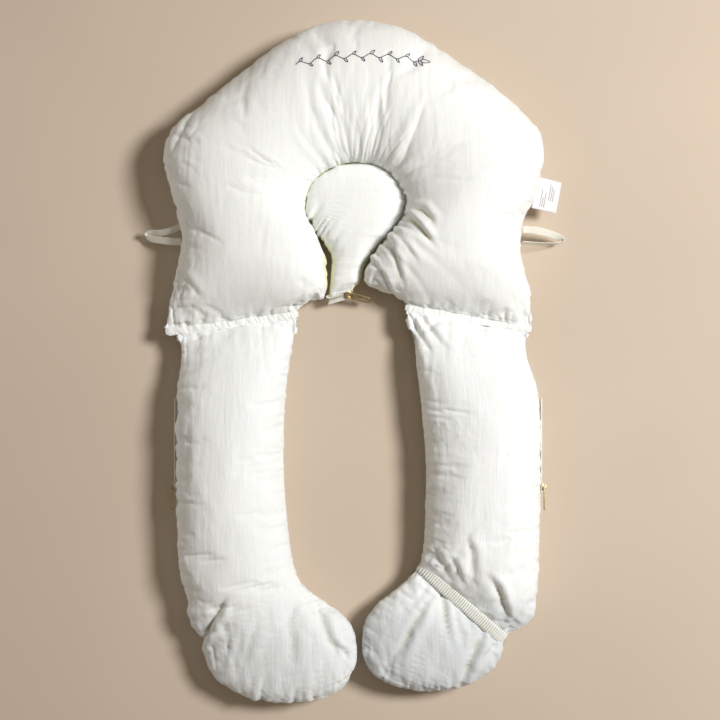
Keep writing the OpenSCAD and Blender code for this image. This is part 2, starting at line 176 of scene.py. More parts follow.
def crease(x, y, path, width):
    """Depth of a fold along a plan path, given as x, y, x, y: 1 in its sharp valley, a ridge on its
    left, 0 away from it. It narrows and fades towards its ends."""
    best, sign, where = np.full(x.shape, 1e9), np.ones(x.shape), np.zeros(x.shape)
    pts = np.array(path, float).reshape(-1, 2)
    spans = np.linalg.norm(np.diff(pts, axis=0), axis=1)
    done = 0.0
    for a, b, n in zip(pts[:-1], pts[1:], spans):
        ex, ey = (b - a) / n
        t = np.clip((x - a[0]) * ex + (y - a[1]) * ey, 0, n)
        px, py = x - a[0] - t * ex, y - a[1] - t * ey
        dist = np.hypot(px, py)
        closer = dist < best
        best = np.where(closer, dist, best)
        sign = np.where(closer, np.sign(ex * py - ey * px), sign)
        where = np.where(closer, (done + t) / spans.sum(), where)
        done += n
    fade = smooth(0, 0.35, where) * smooth(1, 0.6, where)
    side = (best * sign + 0.12 * width * noise(x / 20, y / 20, 7)) / (width * (0.5 + 0.5 * fade))
    return fade * (np.exp(-2.2 * np.abs(side)) - 0.6 * bell(side - 1.1, 0.75))


# ---- grids of cloth
def through(rows, at):
    """Rows of values read at fractional row numbers, on a smooth curve through them."""
    rows = np.asarray(rows, float)
    last = len(rows) - 1
    i = np.clip(np.floor(at).astype(int), 0, last - 1)
    f = (at - i).reshape(-1, *([1] * (rows.ndim - 1)))
    a, b = rows[np.maximum(i - 1, 0)], rows[i]
    c, d = rows[i + 1], rows[np.minimum(i + 2, last)]
    return 0.5 * (2 * b + (c - a) * f + (2 * a - 5 * b + 4 * c - d) * f**2
                  + (3 * b - a - 3 * c + d) * f**3)


def unit(v):
    """Vectors made one long, over the last axis."""
    return v / np.maximum(np.linalg.norm(v, axis=-1, keepdims=True), 1e-9)


def run_along(points):
    """Distance from the first point along a row of points, or along rows that lie side by side."""
    step = np.linalg.norm(np.diff(points, axis=0), axis=-1)
    return np.concatenate([0 * step[:1], np.cumsum(step, axis=0)])


def read_at(points, want):
    """The places at given distances along a row of points."""
    run = run_along(points)
    return np.stack([np.interp(want, run, points[:, k]) for k in range(3)], axis=1)


def squarish(around, power):
    """Cosines and sines round a superellipse: power 2 is a circle, and more is squarer."""
    turn = 2 * np.pi * np.arange(around) / around
    return [np.sign(f(turn)) * np.abs(f(turn)) ** (2 / power) for f in (np.cos, np.sin)]


def sections(stations, seam_z, rings, around, fullness=2.35):
    """A grid of points, rings by around, in millimetres. Column 0 is the first seam and column
    around / 2 the second; the top comes before the base."""
    stations = np.array([(*station, seam_z)[:6] for station in stations], float)
    step = np.linalg.norm(np.diff(stations[:, 0:2], axis=0), axis=1)
    step = step + np.linalg.norm(np.diff(stations[:, 2:4], axis=0), axis=1)
    knots = np.concatenate([[0], np.cumsum(step)])
    s = through(stations, np.interp(np.linspace(0, knots[-1], rings), knots, np.arange(len(stations))))
    c, rise = squarish(around, fullness)
    grid = np.zeros((rings, around, 3))
    for k in (0, 1):
        grid[:, :, k] = ((s[:, k] + s[:, k + 2]) / 2)[:, None] + np.outer((s[:, k] - s[:, k + 2]) / 2, c)
    crown, belly = (np.maximum(s[:, k], WELT * 0.8) for k in (4, 5))
    base = np.outer(belly, np.minimum(1, BASE_FLAT * np.abs(rise)))
    grid[:, :, 2] = seam_z + np.where(rise >= 0, np.outer(crown, np.abs(rise)), -base)
    return grid


def normals(grid):
    """Unit normals of a grid that is closed around its second direction, pointing out."""
    across = np.roll(grid, -1, axis=1) - np.roll(grid, 1, axis=1)
    n = unit(np.cross(across, np.gradient(grid, axis=0)))
    return n if ((grid - grid.mean(axis=1, keepdims=True)) * n).sum() > 0 else -n


def finer(grid, times=2):
    """The grid with that many times the rows and columns, on smooth curves."""
    rings, around = grid.shape[:2]
    grid = through(grid, np.linspace(0, rings - 1, (rings - 1) * times + 1))
    wrapped = np.concatenate([grid[:, -2:], grid, grid[:, :3]], axis=1).swapaxes(0, 1)
    at = 2 + np.arange(around * times) / times
    return through(wrapped, at).swapaxes(0, 1)


def lengths(grid):
    """For each point: its distance over the cloth from seam 0 and from seam 1, and how far along
    each seam its ring is. Millimetres."""
    half = grid.shape[1] // 2
    hop = np.linalg.norm(np.roll(grid, -1, axis=1) - grid, axis=2)
    top, base = (np.hstack([0 * hop[:, :1], np.cumsum(part, axis=1)])
                 for part in (hop[:, :half], hop[:, :half - 1:-1]))
    first = np.hstack([top, base[:, -2:0:-1]])
    second = np.hstack([top[:, -1:] - top, (base[:, -1:] - base)[:, -2:0:-1]])
    along = [run_along(grid[:, column])[:, None] + 0 * first for column in (0, half)]
    return first, second, *along


def from_ends(grid):
    """Distance of each ring over the cloth from the first end and from the last."""
    run = run_along(grid)
    return run, run[-1:] - run


def mesh_of(name, grid, ring=False):
    """A mesh through the grid, closed around. Its two ends are sewn shut, or meet in a ring."""
    rings, around = grid.shape[:2]
    i, k = np.meshgrid(np.arange(rings if ring else rings - 1), np.arange(around), indexing="ij")
    a, b = i * around + k, i * around + (k + 1) % around
    faces = (np.stack([a, b, b + around, a + around], axis=2).reshape(-1, 4) % (rings * around)).tolist()
    for k in range(0 if ring else around // 2):
        p, q, r, s = k, k + 1, (around - k - 1) % around, (around - k) % around
        for first, face in ((0, (s, r, q, p)), ((rings - 1) * around, (p, q, r, s))):
            faces.append([first + v for v in dict.fromkeys(face)])
    mesh = bpy.data.meshes.new(name)
    mesh.from_pydata((grid.reshape(-1, 3) * MM).tolist(), [], faces)
    mesh.validate()
    bm = bmesh.new()
    bm.from_mesh(mesh)
    bmesh.ops.recalc_face_normals(bm, faces=bm.faces)
    bm.to_mesh(mesh)
    bm.free()
    mesh.polygons.foreach_set("use_smooth", [True] * len(mesh.polygons))
    return mesh


def layer(mesh, name, values):
    """A layer of values from 0 to 1 on the points of a mesh, for its material to read."""
    data = mesh.attributes.new(name, "FLOAT", "POINT").data
    data.foreach_set("value", np.asarray(values, np.float32).reshape(-1))


def piece(name, data, material=None):
    obj = bpy.data.objects.new(name, data)
    bpy.context.scene.collection.objects.link(obj)
    if material:
        data.materials.append(material)
    return obj


def select_only(*objects):
    """Selects these objects and makes the first one active."""
    bpy.ops.object.select_all(action="DESELECT")
    for obj in objects:
        obj.select_set(True)
    bpy.context.view_layer.objects.active = objects[0]


def joined(name, objects):
    select_only(*objects)
    bpy.ops.object.join()
    objects[0].name = name
    return objects[0]


# ---- inflation
FRAMES = 20
PRESSURE = 5.0


def cloth_on(name, grid, loose, held=0.0):
    """A temporary object with the grid's shape and a cloth that is cut larger than that shape, by
    2% plus loose (0 to 1) times 16%, and blown up inside its seams. held is how firmly each point
    stays where it is, besides the seams and ends."""
    rings, around = grid.shape[:2]
    obj = piece(name, mesh_of(name, grid))
    pins = np.zeros((rings, around))
    pins[:, [0, around // 2]] = 1
    pins[[0, -1]] = 1
    for group, weights in (("held", np.clip(np.maximum(pins, held), 0, 1)), ("loose", np.clip(loose, 0, 1))):
        vg = obj.vertex_groups.new(name=group)
        for index, w in enumerate(weights.reshape(-1)):
            if w > 0.01:
                vg.add([index], float(w), "REPLACE")
    cloth = obj.modifiers.new("cloth", "CLOTH")
    s = cloth.settings
    s.quality, s.mass = 6, 0.25
    s.tension_stiffness = s.compression_stiffness = 12
    s.shear_stiffness, s.bending_stiffness = 3, 0.05
    s.tension_damping = s.compression_damping = 8
    s.use_pressure, s.uniform_pressure_force = True, PRESSURE
    s.effector_weights.gravity = 0
    s.vertex_group_mass = "held"
    s.shrink_min, s.shrink_max, s.vertex_group_shrink = -0.02, -0.18, "loose"
    cloth.point_cache.frame_start, cloth.point_cache.frame_end = 1, FRAMES
    return obj


def inflate(jobs, cap, calmed):
    """Runs all the cloths together. jobs is {name: (grid, object)}; returns {name: grid}, with no
    point moved further than cap millimetres. calmed is {name: how far its buckles are evened out,
    0 to 1, at each point}."""
    scene = bpy.context.scene
    scene.frame_start, scene.frame_end = 1, FRAMES
    for f in range(1, FRAMES + 1):
        scene.frame_set(f)
    depsgraph = bpy.context.evaluated_depsgraph_get()
    done = {}
    for name, (grid, obj) in jobs.items():
        shaped = obj.evaluated_get(depsgraph).to_mesh()
        co = np.zeros(len(shaped.vertices) * 3, np.float32)
        shaped.vertices.foreach_get("co", co)
        moved = co.reshape(grid.shape).astype(float) / MM - grid
        for _ in range(EVENING if name in calmed else 0):
            around = np.roll(moved, 1, 1) + np.roll(moved, -1, 1)
            evened = (2 * moved[1:-1] + moved[2:] + moved[:-2] + around[1:-1]) / 6
            moved[1:-1] += calmed[name][1:-1, :, None] * (evened - moved[1:-1])
        size = np.linalg.norm(moved, axis=2, keepdims=True)
        done[name] = grid + moved * cap * np.tanh(size / cap) / np.maximum(size, 1e-9)
        obj.evaluated_get(depsgraph).to_mesh_clear()
    for _, obj in jobs.values():
        mesh = obj.data
        bpy.data.objects.remove(obj)
        bpy.data.meshes.remove(mesh)
    scene.frame_set(1)
    return done


def on_the_bed(grid):
    """Flattens what would sink below the bed, with a rounded turn into the flat part."""
    lowest, turn = -0.8, 6.0
    z = grid[:, :, 2] - lowest
    eased = turn * np.exp(np.minimum(z - turn, 0) / turn)
    grid[:, :, 2] = lowest + np.where(z > turn, z, eased)
    return grid


# ---- materials
def put(node, **values):
    """Sets a node's inputs, with underscores for the spaces in their names, or its own settings. A
    value that is another node's output is linked to the input."""
    for key, value in values.items():
        socket = node.inputs.get(key.replace("_", " "))
        if socket is None:
            setattr(node, key, value)
        elif isinstance(value, bpy.types.NodeSocket):
            node.id_data.links.new(value, socket)
        else:
            socket.default_value = value
    return node


def add(tree, kind, **values):
    return put(tree.nodes.new("ShaderNode" + kind), **values)


def new_material(name):
    """A material, its node tree, its shader, and the object's own coordinates."""
    m = bpy.data.materials.new(name)
    m.use_nodes = True
    tree = m.node_tree
    return m, tree, tree.nodes["Principled BSDF"], add(tree, "TexCoord").outputs["Object"]


def ramp(tree, source, dark, light, low=0.3, high=0.7):
    """Colours from dark to light as the source goes from low to high."""
    node = add(tree, "ValToRGB", Fac=source)
    for element, at, colour in zip(node.color_ramp.elements, (low, high), (dark, light)):
        element.position, element.color = at, (*colour, 1)
    return node.outputs["Color"]


def multiplied(tree, colour, layer_name, tint):
    """The colour, multiplied by a painted shade tint as far as a layer of the mesh says."""
    amount = add(tree, "Attribute", attribute_name=layer_name).outputs["Fac"]
    return add(tree, "Mix", data_type="RGBA", blend_type="MULTIPLY", Factor=amount, A=colour,
               B=(*tint, 1)).outputs["Result"]


def textured(tree, coords, scale, stretch=(1, 1, 1), detail=3.0, rough=0.55, distortion=0.0):
    """Noise that is drawn out along an axis: stretch multiplies the coordinates."""
    place = add(tree, "Mapping", Vector=coords, Scale=stretch).outputs["Vector"]
    return add(tree, "TexNoise", Vector=place, Scale=scale, Detail=detail, Roughness=rough,
               Distortion=distortion).outputs["Fac"]


def woven(tree, coords, operation, **values):
    """Two sets of waves that cross as threads do."""
    cross = add(tree, "Math", operation=operation)
    for direction, socket in zip("XY", cross.inputs):
        wave = add(tree, "TexWave", bands_direction=direction, Vector=coords, **values)
        tree.links.new(wave.outputs["Fac"], socket)
    return cross.outputs["Value"]


def bumped(tree, shader, *heights):
    """Stacks bump maps, each (source, strength, distance in metres)."""
    for source, strength, distance in heights:
        bump = add(tree, "Bump", Strength=strength, Distance=distance, Height=source)
        if shader.inputs["Normal"].links:
            put(bump, Normal=shader.inputs["Normal"].links[0].from_socket)
        put(shader, Normal=bump.outputs["Normal"])


def cotton(name, light, dark, crease_shade_tint, crinkle):
    """Crinkled double gauze: crinkles that run lengthways, a fine weave, and painted shade: darker in the
    creases and seam gaps, and darker and greyer where the shade layer says.
    """
    m, tree, shader, coords = new_material(name)
    colour = ramp(tree, textured(tree, coords, 22), dark, light)
    # painted shade in the creases and seam gaps, as far as the crease layer says
    colour = multiplied(tree, colour, "crease", crease_shade_tint)
    # painted shade: darker and greyer where the shade layer says, on the tips
    put(shader, Base_Color=multiplied(tree, colour, "shade", SHADE_TINT), Roughness=0.88,
        Specular_IOR_Level=0.25, Sheen_Weight=0.18, Sheen_Roughness=0.5, Subsurface_Weight=0.12,
        Subsurface_Radius=(0.012, 0.009, 0.005), Subsurface_Scale=0.5)
    threads = woven(tree, coords, "MAXIMUM", Scale=420, Distortion=1.2, Detail_Scale=3)
    long_crinkle = textured(tree, coords, 160, (1.0, 0.13, 0.5), 3, 0.6, 0.6)
    fine_crinkle = textured(tree, coords, 420, (1.0, 0.22, 0.6), 2, 0.6, 0.4)
    bumped(tree, shader, (threads, 0.25, 0.0002), (fine_crinkle, 0.45 * crinkle, 0.0006),
           (long_crinkle, 0.6 * crinkle, 0.0016))
    return m


def plain_weave(name, light, dark, scale=700, rough=0.85):
    """Tape, label cloth or thread: a fine crossed weave with slight shade variation."""
    m, tree, shader, coords = new_material(name)
    colour = ramp(tree, textured(tree, coords, 90, detail=4), dark, light)
    put(shader, Base_Color=colour, Roughness=rough, Sheen_Weight=0.2)
    bumped(tree, shader, (woven(tree, coords, "MULTIPLY", Scale=scale, Distortion=0.6), 0.5, 0.0003))
    return m


def metal(name, light, dark):
    """Plating, duller and darker in worn patches."""
    m, tree, shader, coords = new_material(name)
    wear = textured(tree, coords, 500, detail=5, rough=0.65)
    dulled = add(tree, "MapRange", Value=wear, To_Min=0.22, To_Max=0.45).outputs["Result"]
    put(shader, Base_Color=ramp(tree, wear, dark, light, 0.35, 0.65), Roughness=dulled, Metallic=1.0)
    bumped(tree, shader, (wear, 0.2, 0.0001))
    return m


def moulded(name, light, dark):
    """Moulded plastic with a fine grain."""
    m, tree, shader, coords = new_material(name)
    grain = textured(tree, coords, 900)
    put(shader, Base_Color=ramp(tree, grain, dark, light), Roughness=0.42, Subsurface_Weight=0.1)
    bumped(tree, shader, (grain, 0.15, 0.0001))
    return m


FOLD_SHADE_TINT = (0.93, 0.90, 0.62)  # painted shade: what the deepest creases and the seam gaps of the smooth covers are multiplied by
SHADE_TINT = (0.70, 0.72, 0.745)  # and the painted shade that makes the tips darker and greyer
COTTON = cotton("smooth_cotton", (0.905, 0.93, 0.92), (0.88, 0.905, 0.89), FOLD_SHADE_TINT, 0.5)
# its crease tint is painted shade in the arms' creases
CREASED_COTTON = cotton("creased_cotton", (0.905, 0.935, 0.935), (0.88, 0.91, 0.905),
                        (0.94, 0.925, 0.78), 0.9)
# the casing's dark crease tint is painted shade, for the grooves between the elastic's ribs
CASING = cotton("casing_cotton", (0.885, 0.91, 0.865), (0.85, 0.87, 0.82), (0.42, 0.40, 0.33), 0.4)
TAPE = plain_weave("zip_tape_weave", (0.88, 0.86, 0.78), (0.80, 0.78, 0.70))
LOOP_TAPE = plain_weave("loop_tape_weave", (0.86, 0.84, 0.76), (0.78, 0.75, 0.65))
LABEL_CLOTH = plain_weave("label_satin", (0.93, 0.93, 0.93), (0.87, 0.87, 0.88), 1100, 0.55)
THREAD = plain_weave("grey_thread", (0.13, 0.13, 0.16), (0.07, 0.07, 0.09), 1500, 0.7)
INK = plain_weave("pale_grey_rules", (0.45, 0.45, 0.47), (0.36, 0.36, 0.38), 1500, 0.7)
BRASS = metal("pale_gold_plating", (0.80, 0.66, 0.42), (0.62, 0.49, 0.28))
NYLON = moulded("white_nylon", (0.90, 0.89, 0.84), (0.82, 0.80, 0.74))


# ---- camera, floor and light
def studio():
    scene = bpy.context.scene
    scene.view_settings.view_transform = "Standard"
    cam = piece("camera", bpy.data.cameras.new("camera"))
    cam.data.lens, cam.data.sensor_width = 70, 36
    view_width = 837 * MM  # what the picture takes in at the height of the side seams
    distance = view_width / 2 / (cam.data.sensor_width / 2 / cam.data.lens)
    middle = (5.2 * MM, 2.3 * MM)  # of the picture, which looks straight down
    cam.location = (*middle, SEAM_Z * MM + distance)
    scene.camera = cam

    bpy.ops.mesh.primitive_plane_add(size=12, location=(0, 0, 0))
    floor = bpy.context.object
    floor.name = "floor"
    m, tree, shader, coords = new_material("pale_floor")
    tone = ramp(tree, textured(tree, coords, 2.5, detail=2), (0.60, 0.505, 0.405), (0.64, 0.54, 0.435))
    put(shader, Base_Color=tone, Roughness=0.85, Specular_IOR_Level=0.1)
    bumped(tree, shader, (textured(tree, coords, 300), 0.08, 0.0004))
    floor.data.materials.append(m)

    def area(name, place, size, power, colour):
        """A round lamp that points at the origin."""
        light = bpy.data.lights.new(name, "AREA")
        light.shape, light.size, light.energy, light.color = "DISK", size, power, colour
        obj = piece(name, light)
        obj.location = place
        obj.rotation_euler = Vector(place).to_track_quat("Z", "Y").to_euler()
        obj.visible_camera = False

    area("key", (1.42, 0.5, 1.93), 0.62, 58.5, (1.0, 0.99, 0.985))
    area("overhead", (0.2, 0.3, 2.0), 1.0, 2.5, (1.0, 0.99, 0.975))
    area("low_left", (-1.6, 0.1, 0.25), 0.6, 4.4, (0.98, 0.99, 1.0))
    area("low_front", (0.3, -1.8, 0.35), 0.6, 2.8, (0.98, 0.99, 1.0))
    scene.world = world = bpy.data.worlds.new("soft_room")
    world.use_nodes = True
    put(world.node_tree.nodes["Background"], Color=(1.0, 0.72, 0.38, 1), Strength=0.10)


studio()


# ---- the stuffed covers
def near(x, y, cx, cy, size):
    """1 at a plan point, fading away from it."""
    return np.exp(-(((x - cx) ** 2 + (y - cy) ** 2) / size ** 2))


def looseness(grid):
    """How much spare cloth each point has, from 0 to 1: most at the seams and ends."""
    inside, wide = 0.22, 34.0
    d0, d1, _, _ = lengths(grid)
    d = np.minimum(np.minimum(d0, d1), np.minimum(*from_ends(grid)))
    return inside + (1.0 - inside) * bell(d, wide)


def started(grid, seed):
    """The grid drawn in a little and roughened, so that the cloth buckles along gathers."""
    drawn_in, roughness = 1.5, 1.6
    d0, d1, s0, s1 = lengths(grid)
    rough = gathers(s0, d0, 14, 45, seed) + gathers(s1, d1, 10, 50, seed + 20)
    start = grid + normals(grid) * (roughness * rough - drawn_in)[:, :, None]
    half = grid.shape[1] // 2
    start[:, [0, half]] = grid[:, [0, half]]
    start[[0, -1]] = grid[[0, -1]]
    return start


def seam_line(grid, depth=1.2, wide=2.4):
    """A stitched line along both side seams: the cloth dips to it."""
    stitch_length, dimple = 3.2, 0.25
    d0, d1, s0, _ = lengths(grid)
    stitch = dimple * np.cos(2 * np.pi * s0 / stitch_length)
    return -(depth + stitch) * (bell(d0, wide) + bell(d1, wide))


def crinkles(grid, seed, size, pitch=3.6):
    """Small crinkles that run lengthways in the cloth, in patches."""
    x, y, z = grid[:, :, 0], grid[:, :, 1], grid[:, :, 2]
    u = x + 3 * noise(x / 25, y / 25, seed + 5)
    fine = noise(u / pitch, (y + z) / 26, seed) - 1.2 * valleys(u / (2 * pitch), y / 40, seed + 1, 0.2)
    return size * fine * (0.3 + 0.7 * smooth(-0.5, 0.6, noise(x / 45, y / 45, seed + 2)))


def dressed(name, grid, out, material, shade_in_gaps=0.0, shade=0.0):
    """The finished cover: the grid pushed out along its normals by out millimetres. Its crease
    layer is painted shade: the shade asked for in the gaps plus the depth of each crease, from 0 on
    smooth cloth to 1. Its shade layer goes from 0 to 1, where painted shade makes the cloth darker
    and greyer."""
    shape = on_the_bed(grid + normals(grid) * out[:, :, None])
    mesh = mesh_of(name, shape)
    soft = out.copy()
    for _ in range(EVENING):
        soft = (soft + np.roll(soft, 1, 1) + np.roll(soft, -1, 1)
                + np.roll(soft, 1, 0) + np.roll(soft, -1, 0)) / 5
    depth = np.maximum((soft - out) / 1.6 - 0.35, 0)
    layer(mesh, "crease", np.clip(0.3 * depth + shade_in_gaps, 0, 1))
    layer(mesh, "shade", np.broadcast_to(shade, depth.shape))
    return piece(name, mesh, material), shape


def top_only(grid, seam_z):
    """1 on the top of a chamber, fading to 0 a little below its seams."""
    return smooth(seam_z - 8, seam_z + 14, grid[:, :, 2])


def below(grid, seam_z, d, middle, wide):
    """1 on a strip of cloth below a seam: d is the distance from the seam."""
    return (grid[:, :, 2] < seam_z) * bell(d - middle, wide)


def end_gathers(grid, end, *kinds):
    """Gathers that start where two chambers meet, calmer at the corners. end is the distance from
    that seam, and each kind is (depth, pitch, reach, seed)."""
    d0, d1, _, _ = lengths(grid)
    fade = (0.2 + 0.8 * smooth(0, 14, np.minimum(d0, d1))) * smooth(-2, 3, end)
    return fade * sum(deep * gathers(grid[:, :, 0], end, pitch, reach, seed)
                      for deep, pitch, reach, seed in kinds)


def bolster_detail(grid):
    d0, d1, s0, s1 = lengths(grid)
    x, y = grid[:, :, 0], grid[:, :, 1]
    top = top_only(grid, SEAM_Z)
    bearing = np.degrees(np.arctan2(y - BULB_CENTRE[1], x - BULB_CENTRE[0]))
    head, mouth, shoulder = (bell(bearing - middle, wide)
                             for middle, wide in ((78, 40), (-48, 30), (25, 22)))
    out = np.zeros(x.shape)
    for deep, pitch, first, reach, seed in (
            (3.2 * head + 1.6 * shoulder, 15, 60, 105, 11),
            (1.0 * head + 0.8 * shoulder + 0.3, 8, 56, 55, 16),
            (2.6 * mouth, 6.5, 50, 60, 21), (1.6 * mouth, 14, 58, 90, 26)):
        out += top * deep * fan(x, y, BULB_CENTRE, pitch, first, reach, seed)
    rim = smooth(0, 6, d0) * smooth(0, 4, d1)
    out += rim * 0.9 * gathers(s1, d1, 7, 20, 31)
    out += rim * (0.5 - 0.3 * smooth(220, 300, y)) * gathers(s0, d0, 13, 20, 41)
    for end, seed in zip(from_ends(grid), (51, 61)):
        out += end_gathers(grid, end, (2.4, 5.5, 20, seed), (1.8, 12, 50, seed + 4))
    out += 1.2 * noise(x / 60, y / 60, 71) * top
    # crumpled cloth over the loops, at the left shoulder, and at both inner corners
    for cx, cy, size, deep in ((-203, 160, 20, 3.0), (198, 160, 16, 2.0), (-212, 252, 34, 2.2),
                               (-60, 82, 30, 1.6), (-206, 92, 30, 1.8), (204, 66, 24, 1.6)):
        out += deep * near(x, y, cx, cy, size) * crumple(x, y, 9, 91)
    for deep, wide, *path in BOLSTER_FOLDS:
        out -= deep * top * crease(x, y, path, wide)
    # the facing beside the neck bellies out past its seam
    out += 5.0 * below(grid, SEAM_Z, d1, 13, 9) * near(x, y, -33, 112, 28)
    return out + seam_line(grid) + crinkles(grid, 81, 0.32)


def direction(line):
    """The way a plan line goes, as x and y of a step one long."""
    (ax, ay), (bx, by) = line
    n = math.hypot(bx - ax, by - ay)
    return (bx - ax) / n, (by - ay) / n


def band_place(x, y):
    """Where a point is beside the elastic: how far along it, and how far from it."""
    ux, uy = direction(ELASTIC)
    ax, ay = ELASTIC[0]
    return (x - ax) * ux + (y - ay) * uy, -(x - ax) * uy + (y - ay) * ux


def arm_detail(grid, seed, folds, pinch=None):
    d0, d1, s0, s1 = lengths(grid)
    e0, e1 = from_ends(grid)
    x, y = grid[:, :, 0], grid[:, :, 1]
    top = top_only(grid, SEAM_Z)
    tip = smooth(-262, -305, y)
    rim = smooth(0, 6, d0) * smooth(0, 6, d1)
    out = (1 - tip) * rim * (0.8 * gathers(s0, d0, 14, 16, seed) + 0.8 * gathers(s1, d1, 13, 16, seed + 1))
    out += end_gathers(grid, e0, (2.2, 5.5, 18, seed + 2), (1.8, 12, 55, seed + 3))
    rim = rim * smooth(4, 30, e1)
    out += tip * rim * (0.5 * gathers(s0, d0, 16, 26, seed + 4) + 0.5 * gathers(s1, d1, 16, 26, seed + 5))
    lengthways = noise(x / 15 + 0.5 * noise(y / 70, x / 50, seed + 7), y / 120, seed + 6)
    out += top * (1 - 0.6 * tip) * (0.7 * lengthways + 1.1 * noise(x / 42, y / 75, seed + 8))
    fanned = (-40, -14, 12, 38)
    out += (0.2 + 0.5 * smooth(-225, -285, y)) * crumple(x, y, 11, seed + 9, fanned)
    throat = (x.mean() * 0.9, -190.0)
    calm = smooth(0, 26, np.minimum(np.minimum(d0, d1), e1))
    for deep, pitch, first, reach, n in ((1.5, 11, 60, 150, 40), (0.7, 5, 80, 120, 44)):
        out += deep * tip * calm * top * fan(x, y, throat, pitch, first, reach, seed + n, 90.0)
    if pinch:
        run, off = band_place(x, y)
        away = np.maximum(np.abs(off) - 8, 0)
        across = smooth(-8, 6, run) * smooth(134, 120, run) * smooth(0, 4, away)
        out += across * 2.6 * gathers(run + 400, away, 9, 24, seed + 12)
        out += across * 2.4 * gathers(run + 700, away, 20, 60, seed + 14)
        out -= 1.5 * np.exp(-((off / 8) ** 4))
    down_to_seam = smooth(SEAM_Z - 14, SEAM_Z + 5, grid[:, :, 2])
    for deep, wide, *path in folds:
        out -= deep * down_to_seam * crease(x, y, path, wide)
    return out + seam_line(grid) + crinkles(grid, seed + 16, 0.3 + 0.75 * tip, 4.2)


def pad_detail(grid):
    d0, d1, s0, s1 = lengths(grid)
    _, e1 = from_ends(grid)
    x, y = grid[:, :, 0], grid[:, :, 1]
    top = top_only(grid, PAD_SEAM_Z)
    # where the bulb narrows into the neck, folds run up from its left seam
    root = near(x, y, -48, 160, 34)
    slant = x * 0.55 + y * 0.83
    out = 3.6 * root * gathers(x * 0.83 - y * 0.55 + 400, np.abs(slant - 110), 5.5, 44, 211)
    out += 0.4 * gathers(s0, d0, 8, 12, 212) + 0.4 * gathers(s1, d1, 8, 12, 213)
    out += 0.9 * gathers(x + 200, e1, 5.5, 20, 214)
    out += 0.7 * top * noise(x / 22, y / 34, 215)
    # the neck's facing bellies out past its seams
    out += 2.0 * below(grid, PAD_SEAM_Z, np.minimum(d0, d1), 9, 7) * smooth(146, 128, y)
    return out + seam_line(grid, 0.8, 2.2) + crinkles(grid, 216, 0.22)


ELASTIC = ((75.5, -237.5), (171.0, -320.5))  # the line of the elastic over the right arm, in plan
BOLSTER_FOLDS = [  # depth, width, then x and y along the path
    (2.6, 7, -204, 104, -188, 88, -172, 66), (2.2, 6, -214, 228, -198, 262, -182, 296),
    (1.8, 6, -222, 246, -206, 280, -196, 292), (1.6, 8, -150, 200, -122, 190, -96, 188),
    (1.5, 8, -128, 232, -104, 222, -84, 216), (3.4, 9, 36, 206, 54, 230, 68, 262, 82, 304),
    (4.2, 6, 44, 178, 62, 175, 75, 173, 85, 161, 91, 144),
    (4.6, 5.5, 38, 184, 56, 170, 69, 156, 80, 142, 97, 120), (3.4, 5, 52, 186, 64, 162, 76, 146, 88, 132),
    (4, 5.5, 22, 166, 34, 144, 40, 130, 50, 102, 58, 76), (2.6, 5, 34, 164, 50, 142, 64, 122, 76, 100),
    (4, 5, 4, 132, 17, 116, 28, 102, 38, 85, 48, 68), (2, 8, 52, 218, 92, 232, 138, 254),
    (1.8, 9, 20, 240, 26, 284, 44, 330), (2, 9, -14, 238, -22, 276, -46, 318)]
LEFT_FOLDS = [
    (7, 7.5, -140, -256, -153, -277, -175, -317, -194, -352),
    (5, 8, -48, -270, -38, -298, -26, -326, -14, -350), (4, 5, -40, -318, -28, -322, -14, -332, -4, -350),
    (2.8, 6, -110, -412, -108, -380, -104, -352), (2.6, 5, -72, -412, -70, -386, -66, -366),
    (2.6, 5, -46, -408, -48, -384, -52, -366), (2.8, 11, -74, -270, -72, -316, -70, -356),
    (2.8, 9, -108, -280, -120, -318, -132, -360), (1.4, 9, -190, -60, -193, -110, -192, -150)]
RIGHT_FOLDS = [
    (3.6, 6, 48, 74, 64, 46, 78, 24, 92, 2), (3, 6, 66, 66, 82, 42, 98, 22, 112, 8),
    (2.6, 6, 56, 52, 68, 22, 74, -4, 78, -24), (5, 8, 126, -190, 132, -222, 136, -262),
    (7, 8, 150, -236, 164, -266, 172, -290, 186, -298), (4.4, 8, 88, -210, 98, -232, 110, -252),
    (3.6, 7, 104, -216, 116, -240, 126, -262), (7, 6.5, 98, -250, 101, -276, 104, -300, 108, -332),
    (3.8, 5, 108, -262, 114, -288, 122, -312, 124, -338),
    (8, 8, 152, -296, 145, -314, 138, -330, 126, -360, 118, -384),
    (6, 7.5, 88, -262, 77, -285, 60, -312, 42, -342, 34, -354),
    (4, 6, 70, -300, 58, -322, 50, -346, 46, -366)]


